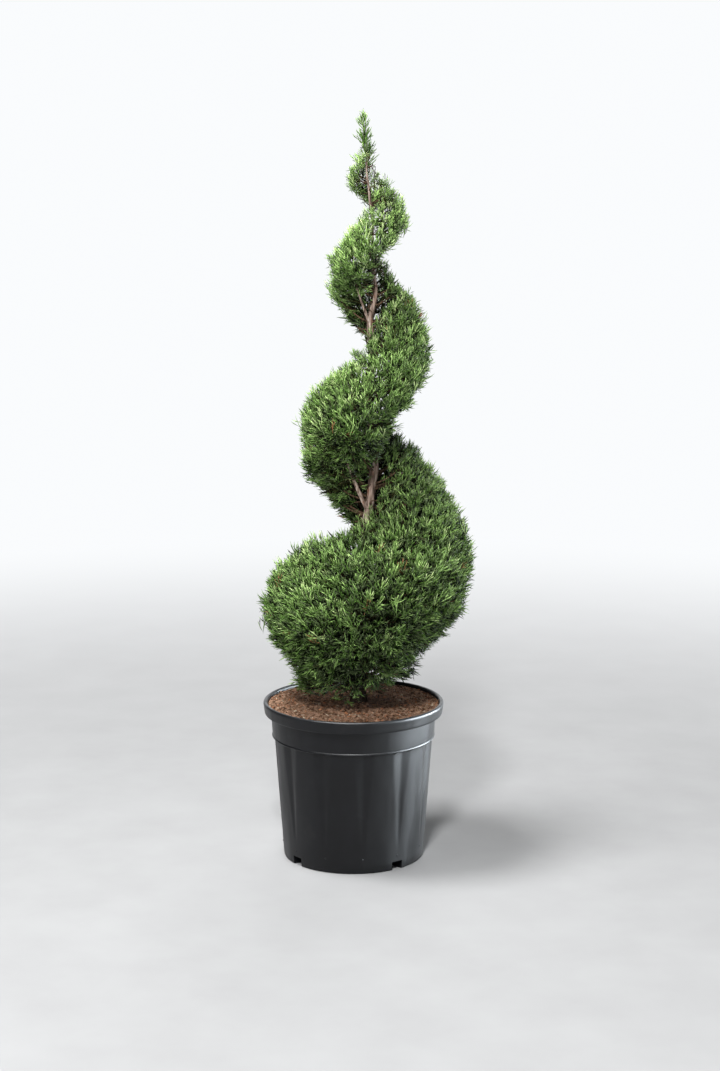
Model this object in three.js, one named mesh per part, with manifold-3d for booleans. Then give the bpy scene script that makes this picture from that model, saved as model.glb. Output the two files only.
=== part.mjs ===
// A spiral topiary: a conifer clipped into a helix that climbs round its own stem, in a plain nursery pot.
// Millimetres, +Z up. The origin is the centre of the pot's flat underside. Front is -Y and right is +X.
// The helix is right-handed: from the right it goes round the back to the left, and rises as it goes.
import * as THREE from "three";
import { mergeVertices } from "three/addons/utils/BufferGeometryUtils.js";
import Module from "manifold-3d";

const wasm = await Module();
wasm.setup();

// ---------------------------------------------------------------- driving dimensions

const GAP = 0.4; // left between solids that touch
const FULL_TURN = 2 * Math.PI;

// Pot: a thin moulded tub with a turned-down lip, a collar, twelve flutes and four drains.
const POT_HEIGHT = 308;
const POT_WALL = 2.5;
const LIP_RADIUS = 178;
const LIP_DEPTH = 23;
const LIP_WIDTH = 8.5; // across the rounded top
const LIP_ROUNDING = 5; // height of the rounded top
const COLLAR_TOP_RADIUS = 163;
const COLLAR_FOOT_RADIUS = 160;
const COLLAR_FOOT = 240;
const BODY_TOP_RADIUS = 156.5;
const FOOT_RADIUS = 137.5;
const POT_SIDES = 72;
const FOOT_ROUNDING = 7; // height of the splayed edge under the wall
const WAIST = 130; // height of the ring half way up the wall
const FLUTES = 12;
const FLUTE_DEPTH = 4;
const FLUTE_FOOT = 30;
const FIRST_FLUTE = THREE.MathUtils.degToRad(7); // from the front, towards the right
const DRAINS = 4;
const DRAIN_WIDTH = 26;
const DRAIN_HEIGHT = 18;
const DRAIN_INNER_RADIUS = 88;
const FIRST_DRAIN = THREE.MathUtils.degToRad(37);

// Soil: fills the pot to a little below the lip, and rises slightly round the stem.
const SOIL_EDGE = 300;
const SOIL_TOP = 305;
const SOIL_FLAT_RADIUS = 34;
const SOIL_CLEARANCE = 0.7; // between the soil and the wall, whose sides are flat

// Stem: leans a little to the right of the pot's centre, and thins above each fork.
const STEM_SIDES = 10;
const STEM_TOP = 1378;
const STEM_LEAN = {
  heights: [290, 480, 660, 710, 780, 900, 1000, 1060, 1100, 1160, 1250, 1340, 1466],
  x: [8, 24, 27, 32, 42, 30, 36, 34, 41, 40, 36, 28, 18],
};
const STEM_RADII = {
  heights: [300, 322, 400, 660, 1040, 1110, 1378],
  radii: [19, 14, 12, 8.5, 6.2, 4, 1.8],
};
const STEM_RINGS = [
  320, 360, 420, 500, 580, 630, 660, 690, 720, 750, 780, 820, 860, 900, 950, 1000, 1030, 1060, 1080,
  1100, 1130, 1160, 1200, 1250, 1300, 1340,
];
const STEM_CLEARANCE = 8; // between the stem and the foliage that is cut round it

// Helix. Turn 0 is on the left, a quarter turn on is the front, and whole turns follow.
const FIRST_TURN = -1.5;
const GROOVES = {
  turns: [-1.5, -1, -0.5, 0, 0.25, 0.5, 1, 1.25, 1.5, 2, 2.5, 3],
  heights: [0, 200, 420, 662, 724, 826, 1026, 1090, 1180, 1278, 1380, 1450],
};
// The share of a coil's height that is left bare against the stem at each edge.
const BARE = {
  turns: [-0.5, 0, 0.25, 0.5, 1, 1.25, 1.5, 2],
  shares: [0.03, 0.06, 0.07, 0.06, 0.1, 0.1, 0.1, 0.08],
};
const GROOVE_STARTS = -0.85; // the turn at which the groove begins to sink into the skirt
const GROOVE_FULL = -0.05; // the turn from which it reaches the stem
// How the ridge is rounded off below and above: 0.5 is a half ellipse, less is squarer and more is slimmer.
const ROUNDING = {
  turns: [-1, -0.5, 0, 0.5, 1, 1.5, 2, 2.5],
  below: [0.62, 0.62, 0.85, 1.1, 0.8, 0.9, 0.8, 0.6],
  above: [0.32, 0.62, 0.9, 0.8, 0.9, 0.45, 0.6, 0.6],
};
const FRONT_SLIMMING = 0.34; // added to the rounding at the front

// Clipped outline: the radius that the ridge of the helix reaches.
const FOLIAGE_FOOT = 322;
const OUTLINE = {
  heights: [312, 380, 450, 520, 580, 700, 850, 1000, 1080, 1150, 1270, 1340, 1380],
  radii: [106, 150, 197, 214, 214, 189, 143, 121, 109, 90, 78, 48, 26],
};
const LUMP = 1.7; // the height of each wave that the clipped surface wanders by
const LUMP_WAVES = [
  { round: 3, up: 0.031, start: 0 },
  { round: 5, up: -0.052, start: 1.3 },
  { round: 2, up: 0.083, start: 4.1 },
];

// Masses: each coil is cut into quarter turns.
const QUARTERS = ["right", "back", "left", "front"];
const COILS = 4;
const SECTIONS = 7;
const OUTER_POINTS = 14;
const INNER_POINTS = 5;
const THINNEST = 2; // a section's depth at its upper and lower edges

// Leading shoot above the helix.
const LEADER_SIDES = 12;
const LEADER = { heights: [1381, 1405, 1430, 1450, 1466], radii: [19, 15, 11, 7, 2.5] };
const LEADER_WAVE = 0.12; // as a share of its radius

// Boughs that show where they leave the stem in the groove, to the front left.
const BOUGHS = [
  { name: "bough_lower", foot: 684, azimuth: 212, rise: 136, reach: 64, radius: 4.6, mass: "turn2_left" },
  { name: "bough_upper", foot: 1050, azimuth: 212, rise: 115, reach: 46, radius: 3, mass: "turn3_left" },
];
const BOUGH_SIDES = 8;
const BOUGH_RINGS = 12;
const BOUGH_BEND = { out: 0.52, up: 0.42 }; // shares of the reach and the rise
const BOUGH_TAPER = 0.65; // lost from foot to tip

const COLOURS = {
  pot: { color: "#2a2b2f", roughness: 0.42 },
  soil: { color: "#4a3325", roughness: 0.95 },
  bark: { color: "#8a7361", roughness: 0.85 },
  foliage: { color: "#3f6a2b", roughness: 0.7 },
};

// ---------------------------------------------------------------- curves

// A smooth function through the values at the given places, level beyond its ends.
function smoothThrough(places, values) {
  const curve = new THREE.CubicInterpolant(places, values, 1, new Float64Array(1));
  return (at) => curve.evaluate(THREE.MathUtils.clamp(at, places[0], places.at(-1)))[0];
}

const stemX = smoothThrough(STEM_LEAN.heights, STEM_LEAN.x);
const stemRadius = smoothThrough(STEM_RADII.heights, STEM_RADII.radii);
const leaderRadius = smoothThrough(LEADER.heights, LEADER.radii);
const clippedRadius = smoothThrough(OUTLINE.heights, OUTLINE.radii);
const grooveHeight = smoothThrough(GROOVES.turns, GROOVES.heights);
const bareShare = smoothThrough(BARE.turns, BARE.shares);
const roundingBelow = smoothThrough(ROUNDING.turns, ROUNDING.below);
const roundingAbove = smoothThrough(ROUNDING.turns, ROUNDING.above);

// The point at a radius and azimuth round the leaning stem. Azimuth 0 is the right, and 90 degrees the back.
function roundStem(radius, azimuth, z) {
  return new THREE.Vector3(stemX(z) + radius * Math.cos(azimuth), radius * Math.sin(azimuth), z);
}

// How deep the groove is cut at a turn, from 0 where it has not begun to 1 where it reaches the stem.
function grooveDepth(turn) {
  return THREE.MathUtils.smoothstep(turn, GROOVE_STARTS, GROOVE_FULL);
}

// How far out the coil stands at a share of its own height, from 0 in a full groove to 1 at its ridge.
function bulge(share, turn) {
  const nearest = share < 0.5 ? turn : turn + 1;
  const fromMiddle = Math.min(1, Math.abs(2 * share - 1) / (1 - 2 * bareShare(nearest)));
  const slimming = FRONT_SLIMMING * Math.max(0, Math.sin(turn * FULL_TURN));
  const rounding = (share < 0.5 ? roundingBelow(turn) : roundingAbove(turn)) + slimming;
  return THREE.MathUtils.lerp(1, Math.pow(1 - fromMiddle * fromMiddle, rounding), grooveDepth(nearest));
}

// A gentle unevenness, as a hand-clipped surface has, from three crossing waves.
function lump(azimuth, z) {
  const heights = LUMP_WAVES.map(({ round, up, start }) => Math.sin(round * azimuth + up * z + start));
  return LUMP * heights.reduce((sum, height) => sum + height, 0);
}

// ---------------------------------------------------------------- solids

function material({ color, roughness }) {
  return new THREE.MeshStandardMaterial({ color, roughness, metalness: 0 });
}

function named(name, geometry, look) {
  const mesh = new THREE.Mesh(geometry, material(look));
  mesh.name = name;
  return mesh;
}

// A closed skin over rings of points, with the first and last ring capped. The rings turn anticlockwise as
// seen from the last one. flatten gives a point's place in the plane of its cap.
function closedLoft(rings, flatten) {
  const size = rings[0].length;
  const index = [];
  for (let i = 0; i + 1 < rings.length; i++)
    for (let j = 0; j < size; j++) {
      const next = (j + 1) % size;
      const [a, b] = [i * size + j, i * size + next];
      index.push(a, b, b + size, a, b + size, a + size);
    }
  const last = (rings.length - 1) * size;
  const capOf = (ring) => THREE.ShapeUtils.triangulateShape(ring.map(flatten), []);
  for (const [a, b, c] of capOf(rings[0])) index.push(a, c, b);
  for (const [a, b, c] of capOf(rings.at(-1))) index.push(last + a, last + b, last + c);
  return new THREE.BufferGeometry().setFromPoints(rings.flat()).setIndex(index);
}

function levelRing(centre, radiusAt, sides) {
  return Array.from({ length: sides }, (_, i) => {
    const angle = (i / sides) * FULL_TURN;
    const radius = radiusAt(angle);
    return new THREE.Vector3(centre.x + radius * Math.cos(angle), radius * Math.sin(angle), centre.z);
  });
}

const fromAbove = (p) => new THREE.Vector2(p.x, p.y);

function solidOf(geometry) {
  const bare = geometry.clone();
  bare.deleteAttribute("normal");
  bare.deleteAttribute("uv");
  const merged = mergeVertices(bare, 1e-3);
  return new wasm.Manifold(
    new wasm.Mesh({
      numProp: 3,
      vertProperties: merged.attributes.position.array,
      triVerts: new Uint32Array(merged.index.array),
    }),
  );
}

function geometryOf(solid) {
  const { numProp, numVert, vertProperties, triVerts } = solid.getMesh();
  const places = new Float32Array(numVert * 3);
  for (let i = 0; i < numVert; i++)
    places.set(vertProperties.subarray(i * numProp, i * numProp + 3), i * 3);
  return new THREE.BufferGeometry()
    .setAttribute("position", new THREE.BufferAttribute(places, 3))
    .setIndex(new THREE.BufferAttribute(triVerts, 1));
}

// ---------------------------------------------------------------- pot and soil

const LIP_INSIDE = LIP_RADIUS - LIP_WIDTH;

// A profile of [radius, height] turned round Z, starting at the front.
function turned(profile, sides) {
  const points = profile.map(([r, z]) => new THREE.Vector2(r, z));
  return new THREE.LatheGeometry(points, sides, FIRST_FLUTE, FULL_TURN).rotateX(Math.PI / 2);
}

function bodyRadius(z) {
  return THREE.MathUtils.mapLinear(z, 0, COLLAR_FOOT, FOOT_RADIUS, BODY_TOP_RADIUS);
}

// Presses a shallow vertical groove into every sixth side of the tub's body, deepest under the collar.
function pressFlutes(geometry) {
  const place = geometry.attributes.position;
  for (let i = 0; i < place.count; i++) {
    const [x, y, z] = [place.getX(i), place.getY(i), place.getZ(i)];
    const radius = Math.hypot(x, y);
    const fromFront = Math.atan2(x, -y) - FIRST_FLUTE;
    const pitch = FULL_TURN / FLUTES;
    const offset = Math.abs(fromFront - pitch * Math.round(fromFront / pitch));
    const onWall = radius > FOOT_RADIUS / 2 && z > FLUTE_FOOT && z < COLLAR_FOOT;
    if (!onWall || offset > pitch / 8) continue;
    const share = (z - FLUTE_FOOT) / (COLLAR_FOOT - FLUTE_FOOT);
    const pressed = (radius - FLUTE_DEPTH * share) / radius;
    place.setXY(i, x * pressed, y * pressed);
  }
  return geometry;
}

// A box that lies along a drain, from an inner to an outer radius.
function drainBox(index, inner, outer, width, height) {
  const angle = FIRST_DRAIN + (index / DRAINS) * FULL_TURN;
  return new THREE.BoxGeometry(width, outer - inner, height)
    .translate(0, -(inner + outer) / 2, height / 2)
    .rotateZ(angle);
}

function drainSolids(inner, outer, width, height, lift) {
  return Array.from({ length: DRAINS }, (_, i) =>
    solidOf(drainBox(i, inner, outer, width, height).translate(0, 0, lift)),
  );
}

function potGeometry() {
  const lipFoot = POT_HEIGHT - LIP_DEPTH;
  const lipShoulder = POT_HEIGHT - LIP_ROUNDING;
  const profile = [
    [0, 0],
    [FOOT_RADIUS - 4, 0],
    [bodyRadius(FOOT_ROUNDING), FOOT_ROUNDING],
    [bodyRadius(FLUTE_FOOT), FLUTE_FOOT],
    [bodyRadius(WAIST), WAIST],
    [bodyRadius(COLLAR_FOOT - 3), COLLAR_FOOT - 3],
    [COLLAR_FOOT_RADIUS, COLLAR_FOOT],
    [COLLAR_TOP_RADIUS, lipFoot + POT_WALL],
    [LIP_INSIDE + POT_WALL, lipShoulder - POT_WALL],
    [LIP_RADIUS - POT_WALL - 1, lipShoulder - POT_WALL],
    [LIP_RADIUS - POT_WALL - 1, lipFoot],
    [LIP_RADIUS - 1, lipFoot],
    [LIP_RADIUS, lipShoulder],
    [LIP_RADIUS - 0.25 * LIP_WIDTH, POT_HEIGHT - 0.2 * LIP_ROUNDING],
    [LIP_RADIUS - 0.5 * LIP_WIDTH, POT_HEIGHT],
    [LIP_RADIUS - 0.8 * LIP_WIDTH, POT_HEIGHT - 0.3 * LIP_ROUNDING],
    [LIP_INSIDE, lipShoulder],
    [COLLAR_TOP_RADIUS - POT_WALL, lipFoot + 2 * POT_WALL],
    [COLLAR_FOOT_RADIUS - POT_WALL, COLLAR_FOOT + POT_WALL],
    [bodyRadius(COLLAR_FOOT - 3) - POT_WALL, COLLAR_FOOT - 2],
    [bodyRadius(WAIST) - POT_WALL, WAIST],
    [bodyRadius(FLUTE_FOOT) - POT_WALL, FLUTE_FOOT],
    [bodyRadius(FOOT_ROUNDING) - POT_WALL, POT_WALL],
    [0, POT_WALL],
  ];
  const tub = solidOf(pressFlutes(turned(profile, POT_SIDES)));
  const wallRadius = FOOT_RADIUS - 1;
  const hoods = drainSolids(
    DRAIN_INNER_RADIUS - POT_WALL,
    wallRadius,
    DRAIN_WIDTH + 2 * POT_WALL,
    DRAIN_HEIGHT + POT_WALL,
    0,
  );
  const ways = drainSolids(DRAIN_INNER_RADIUS, wallRadius + 20, DRAIN_WIDTH, DRAIN_HEIGHT + 5, -5);
  const hooded = hoods.reduce((whole, hood) => whole.add(hood), tub);
  return geometryOf(ways.reduce((whole, way) => whole.subtract(way), hooded));
}

function soilGeometry() {
  const inside = POT_WALL + SOIL_CLEARANCE;
  const clearOfFlutes = inside + FLUTE_DEPTH;
  const shoulder = COLLAR_FOOT + 8;
  const profile = [
    [0, POT_WALL + GAP],
    [bodyRadius(FOOT_ROUNDING) - clearOfFlutes, POT_WALL + GAP],
    [bodyRadius(COLLAR_FOOT - 3) - clearOfFlutes, COLLAR_FOOT + 1],
    [COLLAR_FOOT_RADIUS - inside, shoulder],
    [COLLAR_TOP_RADIUS - inside, POT_HEIGHT - LIP_DEPTH + 2 * POT_WALL],
    [LIP_INSIDE - inside, SOIL_EDGE],
    [SOIL_FLAT_RADIUS, SOIL_TOP],
    [0, SOIL_TOP],
  ];
  const hollows = drainSolids(
    DRAIN_INNER_RADIUS - POT_WALL - GAP,
    FOOT_RADIUS + 20,
    DRAIN_WIDTH + 2 * (POT_WALL + GAP),
    DRAIN_HEIGHT + POT_WALL + GAP,
    0,
  );
  const filling = solidOf(turned(profile, POT_SIDES / 2));
  return geometryOf(hollows.reduce((whole, hollow) => whole.subtract(hollow), filling));
}

// ---------------------------------------------------------------- stem and boughs

function stemGeometry(extra = 0) {
  const rings = [SOIL_TOP + GAP, ...STEM_RINGS, STEM_TOP].map((z) =>
    levelRing({ x: stemX(z), z }, () => stemRadius(z) + extra, STEM_SIDES),
  );
  return closedLoft(rings, fromAbove);
}

// A tapering limb that leaves the stem low in the groove, and bends up into its mass.
function boughGeometry({ foot, azimuth, rise, reach, radius, mass }, masses) {
  const angle = THREE.MathUtils.degToRad(azimuth);
  const path = new THREE.QuadraticBezierCurve3(
    roundStem(0, angle, foot),
    roundStem(reach * BOUGH_BEND.out, angle, foot + rise * BOUGH_BEND.up),
    roundStem(reach, angle, foot + rise),
  );
  const side = new THREE.Vector3(-Math.sin(angle), Math.cos(angle), 0);
  const turnOf = (j) => (j / BOUGH_SIDES) * FULL_TURN;
  const rings = Array.from({ length: BOUGH_RINGS }, (_, i) => {
    const share = i / (BOUGH_RINGS - 1);
    const centre = path.getPoint(share);
    const out = new THREE.Vector3().crossVectors(path.getTangent(share), side);
    const here = radius * (1 - BOUGH_TAPER * share);
    return Array.from({ length: BOUGH_SIDES }, (_, j) =>
      centre
        .clone()
        .addScaledVector(side, here * Math.cos(turnOf(j)))
        .addScaledVector(out, here * Math.sin(turnOf(j))),
    );
  });
  const octagon = (_, j) => new THREE.Vector2(Math.cos(turnOf(j)), Math.sin(turnOf(j)));
  const limb = solidOf(closedLoft(rings, octagon));
  const inwards = path.getTangent(1).multiplyScalar(-GAP);
  const end = solidOf(masses.get(mass)).translate([inwards.x, inwards.y, inwards.z]);
  const pieces = limb.subtract(solidOf(stemGeometry(GAP))).subtract(end).decompose();
  return geometryOf(pieces.sort((a, b) => b.volume() - a.volume())[0]);
}

// ---------------------------------------------------------------- foliage

// Shares of a section's height at which its outside is drawn, closer together near the grooves.
function outerShares() {
  const angles = Array.from({ length: OUTER_POINTS }, (_, i) => (i / (OUTER_POINTS - 1)) * Math.PI);
  return angles.map((angle) => (1 - Math.cos(angle)) / 2);
}

function innerShares() {
  return Array.from({ length: INNER_POINTS }, (_, i) => i / (INNER_POINTS - 1));
}

// The outline of a coil at one place along the helix: down beside the stem, and up the outside. It lies in
// the plane that the radius and the stem's chord make, so that neighbouring masses meet at flat faces.
function coilSection(turn) {
  const [low, high] = [grooveHeight(turn), grooveHeight(turn + 1)];
  const shareAt = (z) => (z - low) / (high - low);
  const bare = (at) => GAP + bareShare(at) * grooveDepth(at) * (high - low);
  const foot = Math.max(low + bare(turn), FOLIAGE_FOOT);
  const head = Math.min(high - bare(turn + 1), STEM_TOP);
  const azimuth = Math.PI + turn * FULL_TURN;
  const onChord = (radius, z) => {
    const x = THREE.MathUtils.mapLinear(z, foot, head, stemX(foot), stemX(head));
    return new THREE.Vector3(x + radius * Math.cos(azimuth), radius * Math.sin(azimuth), z);
  };
  const inside = innerShares().map((share) => {
    const z = THREE.MathUtils.lerp(foot, head, share);
    return onChord(stemRadius(z) + STEM_CLEARANCE, z);
  });
  const outside = outerShares().map((share) => {
    const z = THREE.MathUtils.lerp(foot, head, share);
    const inner = stemRadius(z) + STEM_CLEARANCE + THINNEST;
    const depth = Math.max(0, clippedRadius(z) + lump(azimuth, z) - inner);
    return onChord(inner + depth * bulge(shareAt(z), turn), z);
  });
  return { azimuth, outline: [...inside, ...outside.reverse()] };
}

// A quarter turn of the helix. Its two end faces stand back by half the gap from the planes that bound it.
function quarterGeometry(middleTurn) {
  const rings = Array.from({ length: SECTIONS }, (_, i) => {
    const turn = middleTurn - 1 / 8 + i / (SECTIONS - 1) / 4;
    const { azimuth, outline } = coilSection(turn);
    const setBack = ((i === 0) - (i === SECTIONS - 1)) * (GAP / 2);
    const along = new THREE.Vector3(-Math.sin(azimuth), Math.cos(azimuth), 0).multiplyScalar(setBack);
    return outline.map((point) => point.add(along));
  });
  const whole = closedLoft(rings, ({ x, y, z }) => new THREE.Vector2(z, Math.hypot(x - stemX(z), y)));
  return geometryOf(solidOf(whole).subtract(solidOf(stemGeometry(GAP))));
}

function leaderGeometry() {
  const waves = (angle, z) => 1 + LEADER_WAVE * Math.sin(3 * angle + z / 9);
  const rings = LEADER.heights.map((z) =>
    levelRing({ x: stemX(z), z }, (angle) => leaderRadius(z) * waves(angle, z), LEADER_SIDES),
  );
  return closedLoft(rings, fromAbove);
}

// ---------------------------------------------------------------- assembly

const masses = new Map();
for (let coil = 0; coil < COILS; coil++)
  QUARTERS.forEach((side, quarter) => {
    const middleTurn = FIRST_TURN + coil + quarter / QUARTERS.length;
    masses.set(`turn${coil + 1}_${side}`, quarterGeometry(middleTurn));
  });
masses.set("leader_shoot", leaderGeometry());

const topiary = new THREE.Group();
topiary.add(named("pot", potGeometry(), COLOURS.pot));
topiary.add(named("soil", soilGeometry(), COLOURS.soil));
topiary.add(named("trunk", stemGeometry(), COLOURS.bark));
for (const bough of BOUGHS) topiary.add(named(bough.name, boughGeometry(bough, masses), COLOURS.bark));
for (const [name, geometry] of masses) topiary.add(named(name, geometry, COLOURS.foliage));

export default topiary;
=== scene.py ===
"""Looks for a spiral topiary: bark, branches, sprays of scale leaves, potting mix and the nursery pot.

Metres, +Z up, the front is -Y. The helix climbs from the right round the back to the left and on.
"""

import math

import bmesh
import bpy
import numpy as np
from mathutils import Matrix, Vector, noise


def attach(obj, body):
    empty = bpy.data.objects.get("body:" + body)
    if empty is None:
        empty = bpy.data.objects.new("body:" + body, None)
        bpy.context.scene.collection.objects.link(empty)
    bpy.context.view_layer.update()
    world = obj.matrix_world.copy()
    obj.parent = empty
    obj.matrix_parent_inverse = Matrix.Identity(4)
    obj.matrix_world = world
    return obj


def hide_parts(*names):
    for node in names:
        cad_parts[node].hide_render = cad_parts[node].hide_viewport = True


MM = 0.001
MERGE = 0.01 * MM
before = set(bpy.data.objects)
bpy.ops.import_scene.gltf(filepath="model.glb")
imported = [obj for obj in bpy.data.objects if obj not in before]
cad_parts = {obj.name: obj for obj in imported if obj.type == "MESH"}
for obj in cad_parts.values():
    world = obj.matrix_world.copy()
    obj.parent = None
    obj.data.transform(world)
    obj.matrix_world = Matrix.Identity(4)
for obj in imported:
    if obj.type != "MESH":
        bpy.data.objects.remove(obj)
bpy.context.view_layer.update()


# ---------------------------------------------------------------- camera, floor and light

CAMERA_PLACE = (-0.0109, -4.008, 1.332)
CAMERA_LENS = 69.3
CAMERA_PITCH = math.radians(4.8)
CAMERA_YAW = math.radians(0.34)
CAMERA_SHIFT = -0.1702

STUDIO_WHITE = (0.955, 0.97, 0.985)
COOL_WHITE = (0.95, 0.98, 1)
COLD_WHITE = (0.84, 0.93, 1)
FADE_RADIUS = 3.6  # the floor has faded into white this far out
FLOOR_RADIUS = 14

camera_data = bpy.data.cameras.new("camera")
camera_data.lens = CAMERA_LENS
camera_data.shift_y = CAMERA_SHIFT
camera = bpy.data.objects.new("camera", camera_data)
camera.location = CAMERA_PLACE
camera.rotation_euler = (math.pi / 2 - CAMERA_PITCH, 0, -CAMERA_YAW)
bpy.context.collection.objects.link(camera)
bpy.context.scene.camera = camera
bpy.context.scene.view_settings.view_transform = "Standard"


def softbox(name, place, aim, size, power, tint=(1, 1, 1), lights=True, shines=True):
    """A soft lamp. With lights off it shows only in reflections, and with shines off it only lights."""
    light = bpy.data.lights.new(name, "AREA")
    light.shape = "RECTANGLE"
    light.size, light.size_y = size
    light.energy = power
    light.color = tint
    lamp = bpy.data.objects.new(name, light)
    lamp.location = place
    lamp.rotation_euler = (Vector(aim) - Vector(place)).to_track_quat("-Z", "Y").to_euler()
    lamp.visible_diffuse = lights
    lamp.visible_glossy = shines
    lamp.visible_camera = False
    bpy.context.collection.objects.link(lamp)


softbox("key_softbox", (-0.4, -3.7, 4.1), (0, 0, 0.7), (0.6, 0.6), 245)
softbox("top_softbox", (-0.9, -0.4, 4.4), (0, 0, 0.7), (1.0, 1.0), 200)
softbox("left_softbox", (-3.2, -1.6, 1.6), (0, 0, 0.6), (1.2, 1.2), 42, shines=False)
softbox("low_fill", (-0.4, -3.4, 0.9), (0, 0, 0.5), (1.0, 1.0), 18, shines=False)
softbox("back_fill", (0.8, 3.6, 2.4), (0, 0, 0.7), (2.4, 1.6), 75, shines=False)
softbox("backdrop_sheen", (0, 2.6, 1.0), (0, 0, 0.4), (3.4, 1.8), 40, COOL_WHITE, lights=False)
softbox("right_sheen", (1.7, 0.1, 0.42), (0, 0, 0.3), (1.7, 0.8), 270, COLD_WHITE, lights=False)
softbox("ceiling_sheen", (-0.3, -1.4, 3.4), (0, 0, 0.3), (3.5, 2.0), 330, COOL_WHITE, lights=False)

world = bpy.data.worlds.new("studio")
bpy.context.scene.world = world
world.use_nodes = True
sky = world.node_tree
sky.nodes.clear()
sky_out = sky.nodes.new("ShaderNodeOutputWorld")
sky_mix = sky.nodes.new("ShaderNodeMixShader")
sky_rays = sky.nodes.new("ShaderNodeLightPath")
sky_glow = sky.nodes.new("ShaderNodeBackground")
sky_seen = sky.nodes.new("ShaderNodeBackground")
sky_glow.inputs["Color"].default_value = (0.93, 0.97, 1.0, 1)
sky_glow.inputs["Strength"].default_value = 0.07
sky_seen.inputs["Color"].default_value = (*STUDIO_WHITE, 1)
sky_seen.inputs["Strength"].default_value = 1.0
sky.links.new(sky_rays.outputs["Is Camera Ray"], sky_mix.inputs[0])
sky.links.new(sky_glow.outputs[0], sky_mix.inputs[1])
sky.links.new(sky_seen.outputs[0], sky_mix.inputs[2])
sky.links.new(sky_mix.outputs[0], sky_out.inputs[0])


# ---------------------------------------------------------------- materials

def plain_material(name):
    material = bpy.data.materials.new(name)
    material.use_nodes = True
    tree = material.node_tree
    return material, tree, tree.nodes["Principled BSDF"]


def place_of(tree, scale=(1, 1, 1)):
    where = tree.nodes.new("ShaderNodeTexCoord")
    mapping = tree.nodes.new("ShaderNodeMapping")
    mapping.inputs["Scale"].default_value = scale
    tree.links.new(where.outputs["Object"], mapping.inputs["Vector"])
    return mapping.outputs["Vector"]


def noise_of(tree, vector, scale, detail=3.0, roughness=0.55):
    grain = tree.nodes.new("ShaderNodeTexNoise")
    grain.inputs["Scale"].default_value = scale
    grain.inputs["Detail"].default_value = detail
    grain.inputs["Roughness"].default_value = roughness
    tree.links.new(vector, grain.inputs["Vector"])
    return grain.outputs["Fac"]


def ramp_of(tree, factor, stops):
    ramp = tree.nodes.new("ShaderNodeValToRGB")
    band = ramp.color_ramp
    while len(band.elements) < len(stops):
        band.elements.new(0.5)
    for element, (at, colour) in zip(band.elements, stops):
        element.position = at
        element.color = (*colour, 1)
    tree.links.new(factor, ramp.inputs["Fac"])
    return ramp.outputs["Color"]


def grey(value):
    return (value, value, value)


def bump_of(tree, height, strength, distance, shader):
    bump = tree.nodes.new("ShaderNodeBump")
    bump.inputs["Strength"].default_value = strength
    bump.inputs["Distance"].default_value = distance
    tree.links.new(height, bump.inputs["Height"])
    tree.links.new(bump.outputs["Normal"], shader.inputs["Normal"])


def srgb(red, green, blue):
    def linear(value):
        value /= 255
        return value / 12.92 if value <= 0.04045 else ((value + 0.055) / 1.055) ** 2.4

    return linear(red), linear(green), linear(blue)


def shade(colour, by):
    return tuple(min(1.0, channel * by) for channel in colour)


def leaf_material(name, colour):
    material, tree, shader = plain_material(name)
    place = place_of(tree)
    patches = noise_of(tree, place, 220, 2)
    tint = ramp_of(tree, patches, [(0.3, shade(colour, 0.78)), (0.7, shade(colour, 1.2))])
    tree.links.new(tint, shader.inputs["Base Color"])
    shader.inputs["Roughness"].default_value = 0.5
    shader.inputs["Specular IOR Level"].default_value = 0.035
    bump_of(tree, noise_of(tree, place, 900, 1), 0.5, 0.0006, shader)
    return material


def bark_material(name="stringy_bark", dim=1.0, gloss=0.08):
    material, tree, shader = plain_material(name)
    fibres = noise_of(tree, place_of(tree, (260, 260, 26)), 1.0, 4)
    patches = noise_of(tree, place_of(tree, (60, 60, 22)), 1.0, 3)
    fine = ramp_of(
        tree,
        fibres,
        [
            (0.34, shade(srgb(62, 50, 44), dim)),
            (0.5, shade(srgb(136, 116, 104), dim)),
            (0.7, shade(srgb(196, 180, 168), dim)),
        ],
    )
    rust = tree.nodes.new("ShaderNodeMix")
    rust.data_type = "RGBA"
    share = ramp_of(tree, patches, [(0.58, grey(0)), (0.76, grey(0.9))])
    tree.links.new(share, rust.inputs["Factor"])
    tree.links.new(fine, rust.inputs["A"])
    rust.inputs["B"].default_value = (*shade(srgb(150, 96, 62), dim), 1)
    tree.links.new(rust.outputs["Result"], shader.inputs["Base Color"])
    shader.inputs["Roughness"].default_value = 0.85
    shader.inputs["Specular IOR Level"].default_value = gloss
    bump_of(tree, fibres, 0.7, 0.002, shader)
    return material


def twig_material():
    material, tree, shader = plain_material("twig_bark")
    place = place_of(tree, (1, 1, 0.3))
    grain = noise_of(tree, place, 260, 3)
    # The twigs' own brown, darkened as painted shade for twigs that stand in the shade inside the coils.
    tint = ramp_of(tree, grain, [(0.35, srgb(44, 34, 26)), (0.7, srgb(104, 84, 66))])
    tree.links.new(tint, shader.inputs["Base Color"])
    shader.inputs["Roughness"].default_value = 0.8
    shader.inputs["Specular IOR Level"].default_value = 0.03
    bump_of(tree, grain, 0.5, 0.001, shader)
    return material


CLEAN_PLASTIC = (0.0026, 0.0028, 0.0036)
HANDLED_PLASTIC = (0.0040, 0.0043, 0.0056)
DUSTY_PLASTIC = (0.011, 0.011, 0.0115)


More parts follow.
